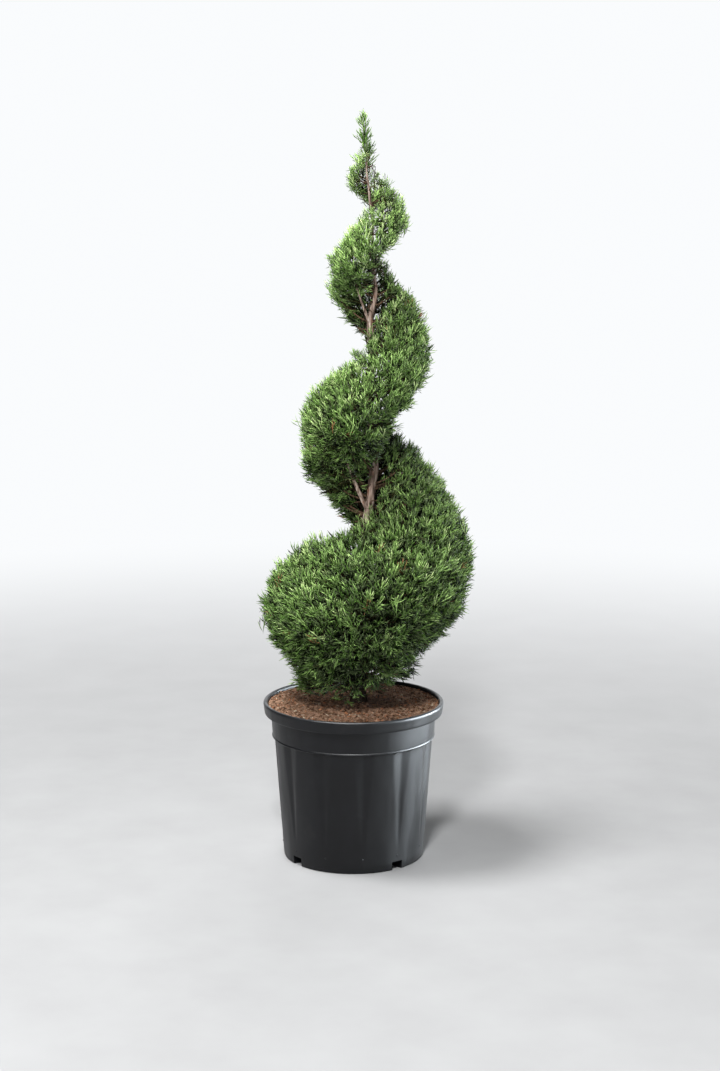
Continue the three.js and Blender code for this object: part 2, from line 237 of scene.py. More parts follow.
def pot_material():
    material, tree, shader = plain_material("black_moulded_plastic")
    place = place_of(tree)
    streaks = noise_of(tree, place_of(tree, (34, 34, 5)), 1.0, 4)
    dust = noise_of(tree, place, 14, 5, 0.65)
    moulded = noise_of(tree, place, 900, 2)
    tint = ramp_of(
        tree,
        dust,
        [(0.35, CLEAN_PLASTIC), (0.62, HANDLED_PLASTIC), (0.8, DUSTY_PLASTIC)],
    )
    tree.links.new(tint, shader.inputs["Base Color"])
    wear = ramp_of(tree, streaks, [(0.3, grey(0.33)), (0.7, grey(0.5))])
    tree.links.new(wear, shader.inputs["Roughness"])
    shader.inputs["Specular IOR Level"].default_value = 0.30
    bump_of(tree, moulded, 0.25, 0.0004, shader)
    return material


def soil_material(name, dark, light, scale):
    material, tree, shader = plain_material(name)
    place = place_of(tree)
    grain = noise_of(tree, place, scale, 6, 0.7)
    tint = ramp_of(tree, grain, [(0.35, dark), (0.68, light)])
    tree.links.new(tint, shader.inputs["Base Color"])
    shader.inputs["Roughness"].default_value = 0.95
    shader.inputs["Specular IOR Level"].default_value = 0.04
    bump_of(tree, grain, 1.0, 0.003, shader)
    return material


def floor_material():
    """A pale grey sweep that fades into the white of the studio away from the pot."""
    material, tree, shader = plain_material("pale_floor")
    mottle = noise_of(tree, place_of(tree), 6, 3)
    tint = ramp_of(tree, mottle, [(0.3, (0.36, 0.362, 0.366)), (0.7, (0.385, 0.388, 0.392))])
    tree.links.new(tint, shader.inputs["Base Color"])
    shader.inputs["Roughness"].default_value = 0.9
    shader.inputs["Specular IOR Level"].default_value = 0
    away = tree.nodes.new("ShaderNodeTexGradient")
    away.gradient_type = "SPHERICAL"
    tree.links.new(place_of(tree, grey(1 / FADE_RADIUS)), away.inputs["Vector"])
    share = ramp_of(tree, away.outputs["Fac"], [(0.0, grey(1)), (0.78, grey(0))])
    share.node.color_ramp.interpolation = "EASE"
    glow = tree.nodes.new("ShaderNodeEmission")
    glow.inputs["Color"].default_value = (*STUDIO_WHITE, 1)
    mix = tree.nodes.new("ShaderNodeMixShader")
    tree.links.new(share, mix.inputs[0])
    tree.links.new(shader.outputs[0], mix.inputs[1])
    tree.links.new(glow.outputs[0], mix.inputs[2])
    tree.links.new(mix.outputs[0], tree.nodes["Material Output"].inputs["Surface"])
    return material


# ---------------------------------------------------------------- pieces

def object_from(bm, name, materials):
    mesh = bpy.data.meshes.new(name)
    bm.to_mesh(mesh)
    bm.free()
    for material in materials:
        mesh.materials.append(material)
    mesh.polygons.foreach_set("use_smooth", np.ones(len(mesh.polygons), bool))
    piece = bpy.data.objects.new(name, mesh)
    bpy.context.collection.objects.link(piece)
    return piece


def object_from_arrays(name, points, triangles, kinds, materials):
    mesh = bpy.data.meshes.new(name)
    count = len(triangles)
    mesh.vertices.add(len(points))
    mesh.vertices.foreach_set("co", points.astype(np.float32).ravel())
    mesh.loops.add(count * 3)
    mesh.loops.foreach_set("vertex_index", triangles.astype(np.int32).ravel())
    mesh.polygons.add(count)
    mesh.polygons.foreach_set("loop_start", np.arange(count, dtype=np.int32) * 3)
    for material in materials:
        mesh.materials.append(material)
    mesh.polygons.foreach_set("material_index", kinds.astype(np.int32))
    mesh.update(calc_edges=True)
    mesh.validate()
    piece = bpy.data.objects.new(name, mesh)
    bpy.context.collection.objects.link(piece)
    return piece


def declare(piece, slot, *nodes):
    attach(piece, "root")
    if nodes:
        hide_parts(*nodes)


def spun(profile, sides):
    """A closed round body: the profile of radii and heights starts and ends on the middle line."""
    bm = bmesh.new()
    row = [bm.verts.new((0, -r, z)) for r, z in profile]
    edges = [bm.edges.new(pair) for pair in zip(row, row[1:])]
    bmesh.ops.spin(
        bm, geom=row + edges, cent=(0, 0, 0), axis=(0, 0, 1), dvec=(0, 0, 0), angle=2 * math.pi,
        steps=sides, use_merge=True, use_duplicate=False,
    )
    bmesh.ops.remove_doubles(bm, verts=bm.verts, dist=MERGE)
    return bm


floor_bm = bmesh.new()
bmesh.ops.create_circle(floor_bm, cap_ends=True, segments=96, radius=FLOOR_RADIUS)
floor = object_from(floor_bm, "studio_floor", [floor_material()])


# ---------------------------------------------------------------- pot

POT_SIDES = 288
FOOT_RADIUS = 137.5 * MM
BODY_TOP_RADIUS = 156.5 * MM
BODY_HEIGHT = 240 * MM
FLUTES = 12
FIRST_FLUTE = math.radians(7)  # from the front, towards the right
FLUTE_HALF_WIDTH = 21 * MM
FLUTE_DEPTH = 3.6 * MM
FLUTE_TOP = 237 * MM
FLUTE_FOOT = 34 * MM
NOTCHES = 4
NOTCH_COLUMNS = 8
FIRST_NOTCH = math.radians(37.5)
NOTCH_HEIGHT = 17 * MM
NOTCH_BACK = 96 * MM
DOT_RADIUS = 1.5 * MM
DOT_DROP = 5 * MM  # under the flute's point
SHARP_ANGLE = 34


def wall_radius(z):
    return FOOT_RADIUS + (BODY_TOP_RADIUS - FOOT_RADIUS) * z / BODY_HEIGHT


def pot_profile():
    """Radius and height round the outside from the foot's centre, over the lip and down the inside."""
    foot = [(0, 0), (NOTCH_BACK, 0), (134 * MM, 0), (136.6 * MM, 0.8 * MM), (wall_radius(3 * MM), 3 * MM)]
    body = [(wall_radius(z), z) for z in np.linspace(NOTCH_HEIGHT, 234 * MM, 30)]
    # From here the profile is in millimetres.
    bead = [(156.3, 236), (156.6, 237.2), (158.6, 238), (160.4, 238.6), (161.0, 239.8), (160.6, 241.2)]
    collar = [(159.8, 242.2), (160.0, 244), (160.7, 254), (161.6, 266), (162.4, 279), (162.8, 283.4)]
    under_lip = [(163.6, 285.4), (168, 286.0), (172.2, 285.6), (173.6, 284.8), (174.6, 284.6), (175.3, 285.4)]
    lip = [
        (175.7, 287), (176.4, 292), (177.1, 297.6), (177.7, 300.6), (178.0, 303.0), (177.8, 305.0),
        (177.0, 306.7), (175.7, 307.7), (174.2, 308), (172.6, 307.7), (171.3, 306.8), (170.5, 305.2),
        (170.0, 303),
    ]
    inside = [(169.0, 298), (166, 292.5), (161.0, 288.6), (160.2, 281), (157.8, 247), (150.6, 241)]
    foot_inside = [(137.5, 60), (131.5, 26), (0, 26)]
    rest = [(r * MM, z * MM) for r, z in bead + collar + under_lip + lip + inside + foot_inside]
    return foot + body + rest


def press_flutes(bm):
    """V-shaped grooves, widest under the collar, that run out to a point above the foot."""
    pitch = 2 * math.pi / FLUTES
    for vert in bm.verts:
        x, y, z = vert.co
        radius = math.hypot(x, y)
        if not FLUTE_FOOT < z < FLUTE_TOP or radius < wall_radius(z) - 1 * MM:
            continue
        angle = math.atan2(x, -y) - FIRST_FLUTE
        aside = abs(angle - pitch * round(angle / pitch)) * radius
        share = (z - FLUTE_FOOT) / (FLUTE_TOP - FLUTE_FOOT)
        half = FLUTE_HALF_WIDTH * share
        if aside < half:
            vert.co *= 1 - FLUTE_DEPTH * share ** 0.6 * (1 - aside / half) / radius
            vert.co.z = z


def cut_notches(bm):
    """Four drains at the foot, each a pocket that opens outwards and downwards."""
    step = 2 * math.pi / POT_SIDES

    def column(vert):
        return round((math.atan2(vert.co.x, -vert.co.y) % (2 * math.pi)) / step) % POT_SIDES

    def reach(vert):
        return math.hypot(vert.co.x, vert.co.y)

    def faces_within(verts):
        return [f for v in verts for f in v.link_faces if all(w in verts for w in f.verts)]

    slack = 0.1 * MM
    low = [v for v in bm.verts if v.co.z < NOTCH_HEIGHT + slack and reach(v) > NOTCH_BACK - slack]
    for notch in range(NOTCHES):
        middle = round((FIRST_NOTCH + notch * 2 * math.pi / NOTCHES) / step)
        columns = [(middle + k) % POT_SIDES for k in range(-NOTCH_COLUMNS // 2, NOTCH_COLUMNS // 2 + 1)]
        stacks = {c: [] for c in columns}
        for vert in low:
            if column(vert) in stacks:
                stacks[column(vert)].append(vert)
        for stack in stacks.values():
            # From the back out along the foot, then up the wall.
            stack.sort(key=lambda v: reach(v) + 3 * v.co.z)
        doomed = faces_within({v for stack in stacks.values() for v in stack})
        bmesh.ops.delete(bm, geom=list(set(doomed)), context="FACES_ONLY")
        backs = [bm.verts.new((stacks[c][0].co.x, stacks[c][0].co.y, NOTCH_HEIGHT)) for c in columns]
        for k in range(len(columns) - 1):
            here, after = stacks[columns[k]], stacks[columns[k + 1]]
            bm.faces.new((here[-1], after[-1], backs[k + 1], backs[k]))
            bm.faces.new((backs[k], backs[k + 1], after[0], here[0]))
        bm.faces.new([*stacks[columns[0]], backs[0]])
        bm.faces.new([*reversed(stacks[columns[-1]]), backs[-1]])
        inner = [v for c in columns[1:-1] for v in stacks[c][1:-1]]
        bare = {e for v in inner for e in v.link_edges if not e.link_faces}
        bmesh.ops.delete(bm, geom=list(bare), context="EDGES")
        loose = [v for c in columns for v in stacks[c] if v.is_valid and not v.link_faces]
        bmesh.ops.delete(bm, geom=loose, context="VERTS")
        low = [v for v in low if v.is_valid]


def moulding_dots(bm):
    """A small round pip below each flute."""
    for k in range(FLUTES):
        angle = FIRST_FLUTE + k * 2 * math.pi / FLUTES
        z = FLUTE_FOOT - DOT_DROP
        radius = wall_radius(z)
        centre = Vector((radius * math.sin(angle), -radius * math.cos(angle), z))
        ball = bmesh.ops.create_uvsphere(bm, u_segments=10, v_segments=6, radius=DOT_RADIUS)
        bmesh.ops.translate(bm, verts=ball["verts"], vec=centre)


def make_pot():
    bm = spun(pot_profile(), POT_SIDES)
    press_flutes(bm)
    cut_notches(bm)
    bmesh.ops.recalc_face_normals(bm, faces=bm.faces)
    moulding_dots(bm)
    piece = object_from(bm, "nursery_pot", [pot_material()])
    mark_sharp_edges(piece, SHARP_ANGLE)
    declare(piece, "pot", "pot")


def mark_sharp_edges(piece, degrees):
    bm = bmesh.new()
    bm.from_mesh(piece.data)
    limit = math.radians(degrees)
    for edge in bm.edges:
        edge.smooth = len(edge.link_faces) == 2 and edge.calc_face_angle(0) < limit
    bm.to_mesh(piece.data)
    bm.free()


make_pot()


# ---------------------------------------------------------------- the plant's measures

# A turn is a whole number on the left and a quarter more at the front. A share runs from 0 in the groove
# under a coil to 1 in the groove above it.

def smooth_through(places, values):
    """A smooth function through the values at the places, level beyond its ends."""
    places = np.asarray(places, float)
    values = np.asarray(values, float)
    slopes = np.gradient(values, places)

    def curve(at):
        at = np.clip(at, places[0], places[-1])
        i = np.clip(np.searchsorted(places, at, side="right") - 1, 0, len(places) - 2)
        width = places[i + 1] - places[i]
        s = (at - places[i]) / width
        start = (2 * s**3 - 3 * s**2 + 1) * values[i] + (s**3 - 2 * s**2 + s) * width * slopes[i]
        end = (3 * s**2 - 2 * s**3) * values[i + 1] + (s**3 - s**2) * width * slopes[i + 1]
        return start + end

    return curve


FIRST_TURN = -1.5
SKIN_TURNS = (-1.45, 2.40)  # sprays are drawn between these
STEM_FOOT = 0.298
STEM_TOP = 1.43
FOLIAGE_FOOT = 0.336
FOLIAGE_TOP = 1.385
LEADER_FOOT = 1.36
PLANT_TOP = 1.466
STEM_CLEARANCE = 0.003  # the grooves stay this far off the stem

stem_x = smooth_through(
    [0.29, 0.48, 0.66, 0.71, 0.78, 0.90, 1.00, 1.06, 1.10, 1.16, 1.25, 1.34, 1.466],
    [0.008, 0.024, 0.027, 0.032, 0.042, 0.030, 0.036, 0.034, 0.041, 0.040, 0.036, 0.028, 0.018],
)
stem_radius = smooth_through(
    [0.30, 0.322, 0.40, 0.66, 1.04, 1.11, 1.378, 1.43],
    [0.019, 0.014, 0.012, 0.0085, 0.0062, 0.004, 0.0018, 0.001],
)
groove_height = smooth_through(
    [-1.5, -1, -0.5, 0, 0.25, 0.5, 1, 1.25, 1.5, 2, 2.5, 3],
    [0, 0.200, 0.420, 0.670, 0.728, 0.832, 1.036, 1.094, 1.186, 1.280, 1.384, 1.450],
)
clipped_radius = smooth_through(
    [0.312, 0.38, 0.45, 0.52, 0.58, 0.70, 0.85, 1.00, 1.08, 1.15, 1.27, 1.34, 1.38],
    [0.106, 0.150, 0.197, 0.214, 0.214, 0.189, 0.143, 0.121, 0.109, 0.090, 0.078, 0.048, 0.026],
)
groove_share = smooth_through(
    [-0.5, 0.0, 0.25, 0.5, 1.0, 1.25, 1.5, 2.0],
    [0.03, 0.06, 0.07, 0.06, 0.10, 0.10, 0.10, 0.08],
)
GROOVE_STARTS = -0.85
GROOVE_FULL = -0.05
FRONT_POWER = 0.34  # how much narrower the ridge is at the front
LUMP_HEIGHT = 0.0017
HALF_TURNS = [-1.0, -0.5, 0.0, 0.5, 1.0, 1.5, 2.0, 2.5]
under_power = smooth_through(HALF_TURNS, [0.62, 0.62, 0.85, 1.10, 0.80, 0.90, 0.80, 0.60])
upper_power = smooth_through(HALF_TURNS, [0.30, 0.55, 0.75, 0.55, 0.75, 0.42, 0.60, 0.60])


def groove_depth(turn):
    s = np.clip((turn - GROOVE_STARTS) / (GROOVE_FULL - GROOVE_STARTS), 0, 1)
    return s * s * (3 - 2 * s)


def bulge(share, turn):
    """The share of the full depth that the ridge keeps between its two grooves."""
    near = np.where(share < 0.5, turn, turn + 1)
    off = np.minimum(1, np.abs(2 * share - 1) / (1 - 2 * groove_share(near)))
    front = np.maximum(0, np.sin(2 * math.pi * turn))
    side = np.where(share < 0.5, under_power(turn), upper_power(turn))
    rounded = np.power(1 - off * off, side + FRONT_POWER * front)
    depth = groove_depth(near)
    return 1 - depth * (1 - rounded)


def lump(azimuth, z):
    broad = np.sin(2 * azimuth + 83 * z + 4.1)
    narrow = np.sin(3 * azimuth + 31 * z) + np.sin(5 * azimuth - 52 * z + 1.3)
    return LUMP_HEIGHT * (narrow + broad)


def azimuth_of(turn):
    return math.pi + 2 * math.pi * turn


def clipped_reach(turn, share, z, inset=0.0):
    """How far the clipped outside stands from the stem's middle."""
    inner = stem_radius(z) + STEM_CLEARANCE
    depth = np.maximum(0, clipped_radius(z) + lump(azimuth_of(turn), z) - inner)
    return inner + depth * bulge(share, turn) * (1 - inset)


def clipped_surface(turn, share, inset=0.0):
    """A point on the clipped outside of the helix, or a share of the way in from it to the stem."""
    low = groove_height(turn)
    high = groove_height(turn + 1)
    z = low + share * (high - low)
    azimuth = azimuth_of(turn)
    radius = clipped_reach(turn, share, z, inset)
    return np.stack([stem_x(z) + radius * np.cos(azimuth), radius * np.sin(azimuth), z], axis=-1)


def cover_at(points):
    """How deep points lie inside the clipped outside, on the level. It is negative where they stand out."""
    x, y, z = points.T
    away = np.hypot(x - stem_x(z), y)
    first = (np.arctan2(y, x - stem_x(z)) / (2 * math.pi) - 0.5) % 1
    cover = np.full(len(points), -0.05)
    for coil in range(-2, 3):
        turn = first + coil
        low = groove_height(turn)
        high = groove_height(turn + 1)
        share = (z - low) / np.maximum(high - low, 1e-6)
        within = (share >= 0) & (share <= 1) & (turn > FIRST_TURN)
        cover = np.where(within, clipped_reach(turn, np.clip(share, 0, 1), z) - away, cover)
    return cover


# ---------------------------------------------------------------- small forms

def unit(vectors):
    return vectors / (np.linalg.norm(vectors, axis=1, keepdims=True) + 1e-12)


def turned_frames(axis, roll):
    """Rotations whose third column is the axis, turned round it by the roll."""
    axis = axis / np.linalg.norm(axis, axis=1, keepdims=True)
    helper = np.where(np.abs(axis[:, 2:3]) < 0.9, [[0, 0, 1.0]], [[1.0, 0, 0]])
    first = np.cross(helper, axis)
    first /= np.linalg.norm(first, axis=1, keepdims=True)
    second = np.cross(axis, first)
    cos, sin = np.cos(roll)[:, None], np.sin(roll)[:, None]
    return np.stack([first * cos + second * sin, second * cos - first * sin, axis], axis=2)


def spindle(start, end, radius, swell=0.6, turn=0.0, bow=(0, 0, 0)):
    """A slim closed spindle of six faces from start to end, bowed to one side at its widest."""
    start, end = np.asarray(start, float), np.asarray(end, float)
    along = end - start
    rotation = turned_frames(along[None], np.array([turn]))[0]
    angles = np.arange(3) * 2 * math.pi / 3
    ring = np.stack([np.cos(angles), np.sin(angles), np.zeros(3)], 1) * radius
    ring = ring @ rotation.T + start + along * swell + np.asarray(bow, float)
    points = np.concatenate([start[None], ring, end[None]])
    faces = np.array([(0, 2, 1), (0, 3, 2), (0, 1, 3), (4, 1, 2), (4, 2, 3), (4, 3, 1)])
    return points, faces


def joined(forms, parts):
    """One form of points, faces and the part that each face belongs to."""
    points, faces, kinds = [], [], []
    total = 0
    for (shape, triangles), part in zip(forms, parts):
        points.append(shape)
        faces.append(triangles + total)
        kinds.append(np.full(len(triangles), part))
        total += len(shape)
    return np.concatenate(points), np.concatenate(faces), np.concatenate(kinds)


PLAIN, FRESH, SHADED_FORK = 0, 1, -2  # steps towards the palest leaf colour; a spray's forks step two colours darker, as painted shade
PALEST = 6
ROUNDED_CORDS = 3


def cord_form(start, ahead, aside, length, radius, curl):
    """A slim closed cord of twelve faces that sets off ahead and curls aside, blunt at the tip."""
    start, ahead, aside = (np.asarray(v, float) for v in (start, ahead, aside))
    across = np.cross(ahead, aside)

    def spot(share):
        return start + (ahead * (share - 0.25 * curl * share**2) + aside * curl * share**2) * length

    rings = []
    for share, size in ((0.36, 1.0), (0.84, 0.72)):
        for angle in (0.5, 2.594, 4.689):
            out = aside * math.cos(angle) + across * math.sin(angle)
            rings.append(spot(share) + out * radius * size)
    points = np.array([spot(0), *rings, spot(1)])
    faces = [(0, 2, 1), (0, 3, 2), (0, 1, 3)]
    for k in range(3):
        after = (k + 1) % 3
        faces += [(1 + k, 1 + after, 4 + after), (1 + k, 4 + after, 4 + k), (7, 4 + k, 4 + after)]
    return points, np.array(faces)


def spray_form(rng, sides, forks, cord):
    """A flat spray of unit length up Z: a shoot with cords set alternately that curl up beside it.

    The first few cords have six sides and the rest are spindles. The lowest are forked.
    """
    sway = rng.uniform(-0.3, 0.3)
    forms = [cord_form((0, 0, 0), (0, 0, 1), (1, 0, 0), 1, cord, sway)]
    parts = [FRESH]
    for k in range(sides):
        share = 0.10 + 0.62 * (k + rng.uniform(-0.3, 0.3)) / sides
        side = 1 if k % 2 else -1
        angle = math.radians(rng.uniform(30, 58))
        length = (0.70 - 0.36 * share) * rng.uniform(0.8, 1.2)
        start = np.array([sway * share**2, 0, share * 0.98])
        ahead = np.array([side * math.sin(angle), rng.uniform(-0.35, 0.35), math.cos(angle)])
        aside = np.array([-side * math.cos(angle), rng.uniform(-0.3, 0.3), math.sin(angle)])
        curl = rng.uniform(0.2, 1.1)
        if k < ROUNDED_CORDS:
            forms.append(cord_form(start, ahead, aside, length, cord * rng.uniform(0.9, 1.1), curl))
        else:
            bow = -aside * curl * length * 0.12
            forms.append(spindle(start, start + (ahead + aside * curl * 0.5) * length, cord, 0.6, k, bow))
        parts.append(FRESH if share > 0.4 else PLAIN)
        if k < forks:
            along = rng.uniform(0.3, 0.5)
            inner = start + (ahead * along + aside * curl * along**2) * length
            twist = angle + math.radians(rng.uniform(18, 50)) * (1 if rng.random() < 0.55 else -1)
            ahead = np.array([side * math.sin(twist), rng.uniform(-0.4, 0.4), math.cos(twist)])
            aside = np.array([-side * math.cos(twist), 0, math.sin(twist)])
            reach = length * rng.uniform(0.5, 0.75)
            bow = aside * reach * rng.uniform(-0.12, 0.05)
            forms.append(spindle(inner, inner + ahead * reach, cord * 0.9, 0.6, k, bow))
            # The fork is painted two steps darker, as shade deep in the spray.
            parts.append(SHADED_FORK)
    return joined(forms, parts)


def scatter(forms, picks, frames, scales, places, kinds):
    """Copies of small forms, turned, scaled and moved, as one set of arrays. Parts step a copy's colour."""
    points, triangles, face_kinds = [], [], []
    total = 0
    for index, (shape, faces, parts) in enumerate(forms):
        chosen = np.flatnonzero(picks == index)
        if not len(chosen):
            continue
        sized = shape[None] * scales[chosen][:, None]
        moved = np.einsum("nij,nkj->nki", frames[chosen], sized) + places[chosen][:, None]
        offsets = total + np.arange(len(chosen)) * len(shape)
        points.append(moved.reshape(-1, 3))
        triangles.append((faces[None] + offsets[:, None, None]).reshape(-1, 3))
        kind = kinds[chosen][:, None]
        stepped = np.where(kind <= PALEST, np.clip(kind + parts[None], 0, PALEST), kind)
        face_kinds.append(stepped.ravel())
        total += len(chosen) * len(shape)
    return np.concatenate(points), np.concatenate(triangles), np.concatenate(face_kinds)


def bent(start, middle, end, share):
    return (1 - share) ** 2 * start + 2 * share * (1 - share) * middle + share**2 * end


def tubes(starts, middles, ends, foot_radii, tip_radii, steps, sides):
    """Bent tapering twigs that start inside their parents and end in a point."""
    count = len(starts)
    share = np.linspace(0, 1, steps + 1)[None, :, None]
    path = bent(starts[:, None], middles[:, None], ends[:, None], share)
    ahead = np.gradient(path, axis=1)
    frames = turned_frames(ahead.reshape(-1, 3), np.zeros(count * (steps + 1)))
    frames = frames.reshape(count, steps + 1, 3, 3)
    radii = foot_radii[:, None] + (tip_radii - foot_radii)[:, None] * share[:, :, 0]
    angles = np.arange(sides) * 2 * math.pi / sides
    circle = np.stack([np.cos(angles), np.sin(angles), np.zeros(sides)], 1)
    rings = np.einsum("nsij,kj->nski", frames, circle) * radii[:, :, None, None] + path[:, :, None]
    points = [rings.reshape(count, -1, 3), path[:, :1], path[:, -1:] + ahead[:, -1:] * 0.2]
    each = (steps + 1) * sides + 2
    faces = []
    for s in range(steps):
        for k in range(sides):
            a, b = s * sides + k, s * sides + (k + 1) % sides
            faces += [(a, b, b + sides), (a, b + sides, a + sides)]
    last = steps * sides
    for k in range(sides):
        faces.append((k, each - 2, (k + 1) % sides))
        faces.append((last + k, last + (k + 1) % sides, each - 1))
    offsets = np.arange(count) * each
    triangles = (np.array(faces)[None] + offsets[:, None, None]).reshape(-1, 3)
    return np.concatenate(points, axis=1).reshape(-1, 3), triangles


# ---------------------------------------------------------------- potting mix

def lumps_at(x, y):
    """The height of the soil's lumps, in three sizes."""
    return (
        noise.noise(Vector((x, y, 0)) * 42) * 2.2 * MM
        + noise.noise(Vector((x, y, 3)) * 130) * 1.6 * MM
        + noise.noise(Vector((x, y, 7)) * 330) * 0.7 * MM
    )


SOIL_RADIUS = 0.1682
SOIL_EDGE = 0.3016
SOIL_CROWN = 0.0045
CROWN_RADIUS = 0.155
SOIL_SIDES = 240
CHIPS = 6000
CHIP_FORMS = 8
CHIP_REACH = 0.1665
STRAWS = 420
STRAW_REACH = 0.158
STRAW_RADIUS = 0.0005


def soil_height(radius):
    return SOIL_EDGE + SOIL_CROWN * max(0.0, 1 - radius / CROWN_RADIUS) ** 1.2


def make_soil():
    top = [(r, soil_height(r)) for r in np.linspace(SOIL_RADIUS, 0, 80)]
    side = [(0.1495, 0.240), (0.1564, 0.2475), (0.1588, 0.281), (0.1596, 0.2892), (0.1648, 0.2934)]
    bm = spun([(0, 0.027), (0.130, 0.027), *side, *top], SOIL_SIDES)
    for vert in bm.verts:
        if vert.co.z > SOIL_EDGE - 0.001:
            fade = min(1.0, (SOIL_RADIUS - math.hypot(vert.co.x, vert.co.y)) / 0.004)
            vert.co.z += lumps_at(vert.co.x, vert.co.y) * max(0.15, fade)
    bmesh.ops.recalc_face_normals(bm, faces=bm.faces)
    look = soil_material("peat", srgb(82, 60, 47), srgb(188, 150, 124), 160)
    declare(object_from(bm, "potting_mix", [look]), "soil", "soil")


def crumb_forms(rng, count, sides):
    """Angular chips: a squashed ring of points between two off-centre ends."""
    forms = []
    for _ in range(count):
        angles = np.sort(rng.uniform(0, 2 * math.pi, sides))
        narrow = np.sin(angles) * rng.uniform(0.4, 0.8)
        ring = np.stack([np.cos(angles), narrow, rng.uniform(-0.1, 0.1, sides)], 1)
        ends = np.array([[0.1, 0.05, -0.25], [-0.1, 0, 0.28]])
        points = np.concatenate([ring, ends])
        faces = [(k, (k + 1) % sides, sides + 1) for k in range(sides)]
        faces += [((k + 1) % sides, k, sides) for k in range(sides)]
        forms.append(joined([(points, np.array(faces))], [PLAIN]))
    return forms


def strewn(rng, count, reach):
    """Places on the soil, evenly spread within the reach."""
    radius = reach * np.sqrt(rng.uniform(0, 1, count))
    angle = rng.uniform(0, 2 * math.pi, count)
    x, y = radius * np.cos(angle), radius * np.sin(angle)
    z = np.array([soil_height(r) + lumps_at(a, b) for r, a, b in zip(radius, x, y)])
    return np.stack([x, y, z], 1)


def make_chips(rng):
    places = strewn(rng, CHIPS, CHIP_REACH)
    sizes = 0.0011 + 0.0042 * rng.uniform(0, 1, CHIPS) ** 3.5
    long = rng.uniform(0.8, 1.5, CHIPS)
    scales = np.stack([sizes * long, sizes, sizes * rng.uniform(0.5, 1.0, CHIPS)], 1)
    tilt = np.stack([rng.normal(0, 0.5, CHIPS), rng.normal(0, 0.5, CHIPS), np.ones(CHIPS)], 1)
    frames = turned_frames(tilt, rng.uniform(0, 2 * math.pi, CHIPS))
    kinds = rng.choice(4, CHIPS, p=[0.45, 0.3, 0.17, 0.08])
    looks = [
        soil_material("dark_chip", srgb(66, 48, 36), srgb(128, 96, 76), 400),
        soil_material("brown_chip", srgb(116, 86, 66), srgb(184, 146, 118), 400),
        soil_material("red_chip", srgb(146, 94, 64), srgb(204, 144, 108), 400),
        soil_material("pale_chip", srgb(176, 152, 128), srgb(222, 204, 180), 400),
    ]
    forms = crumb_forms(rng, CHIP_FORMS, 6)
    places[:, 2] += sizes * 0.25
    arrays = scatter(forms, rng.integers(0, CHIP_FORMS, CHIPS), frames, scales, places, kinds)
    declare(object_from_arrays("bark_chips", *arrays, looks), "soil")


def make_straw(rng):
    places = strewn(rng, STRAWS, STRAW_REACH)
    places[:, 2] += 0.0012
    flat = rng.uniform(0, 2 * math.pi, STRAWS)
    axis = np.stack([np.cos(flat), np.sin(flat), rng.normal(0.05, 0.16, STRAWS)], 1)
    length = rng.uniform(0.006, 0.022, STRAWS)
    form = joined([spindle((0, 0, 0), (0, 0, 1), 1.0, 0.5)], [PLAIN])
    scales = np.stack([np.full(STRAWS, STRAW_RADIUS), np.full(STRAWS, STRAW_RADIUS), length], 1)
    frames = turned_frames(axis, rng.uniform(0, 6, STRAWS))
    kinds = rng.choice(2, STRAWS)
    arrays = scatter([form], np.zeros(STRAWS, int), frames, scales, places, kinds)
    straw = soil_material("straw", srgb(122, 98, 74), srgb(176, 150, 118), 300)
    root = soil_material("fine_root", srgb(84, 52, 34), srgb(128, 84, 58), 300)
    declare(object_from_arrays("straw_and_roots", *arrays, [straw, root]), "soil")


def make_crumbs():
    rng = np.random.default_rng(11)
    make_chips(rng)
    make_straw(rng)


# ---------------------------------------------------------------- stem and limbs

def limb_mesh(bm, centres, radii, sides, relief, seed):
    """A tapering limb: a loop of edges goes from centre to centre, and its bark stands out in long ridges."""
    centres = [Vector(c) for c in centres]
    ring = bmesh.ops.create_circle(bm, cap_ends=False, segments=sides, radius=1)["verts"]
    edges = list({e for v in ring for e in v.link_edges})
    foot_edges = edges
    for step, (centre, radius) in enumerate(zip(centres, radii)):
        if step:
            made = bmesh.ops.extrude_edge_only(bm, edges=edges)["geom"]
            new = [g for g in made if isinstance(g, bmesh.types.BMVert)]
            made_edges = [g for g in made if isinstance(g, bmesh.types.BMEdge)]
            edges = [e for e in made_edges if all(v in new for v in e.verts)]
            ring = in_order(new, edges)
        ahead = centres[min(step + 1, len(centres) - 1)] - centres[max(step - 1, 0)]
        turn = Vector((0, 0, 1)).rotation_difference(ahead)
        for k, vert in enumerate(ring):
            angle = 2 * math.pi * k / sides
            out = turn @ Vector((math.cos(angle), math.sin(angle), 0))
            reach = radius * (1 + relief * bark_ridge(angle, centre.z, seed))
            vert.co = centre + out * reach
    bmesh.ops.contextual_create(bm, geom=foot_edges)
    bmesh.ops.contextual_create(bm, geom=edges)


def in_order(verts, edges):
    """The loop's vertices in the order in which its edges join them."""
    near = {v: [] for v in verts}
    for edge in edges:
        near[edge.verts[0]].append(edge.verts[1])
        near[edge.verts[1]].append(edge.verts[0])
    first = verts[0]
    loop = [first, near[first][0]]
    while len(loop) < len(verts):
        a, b = near[loop[-1]]
        loop.append(b if a is loop[-2] else a)
    return loop


def bark_ridge(angle, z, seed):
    around = Vector((math.cos(angle), math.sin(angle), 0))
    ridges = noise.noise(Vector((around.x * 3.2, around.y * 3.2, z * 16 + seed)))
    strings = noise.noise(Vector((around.x * 7, around.y * 7, z * 34 + seed * 2)))
    knots = noise.noise(Vector((around.x, around.y, z * 26 + seed * 3)))
    return 0.9 * ridges + 0.6 * strings + 0.5 * knots


STEM_STEPS = 230
STEM_SIDES = 26
STEM_RELIEF = 0.24
LIMB_STEPS = 40
LIMB_SIDES = 18
LIMB_RELIEF = 0.22
SHADED_FOOT_HEIGHT = 0.36  # the bark is painted dark below this, as shade under the foliage
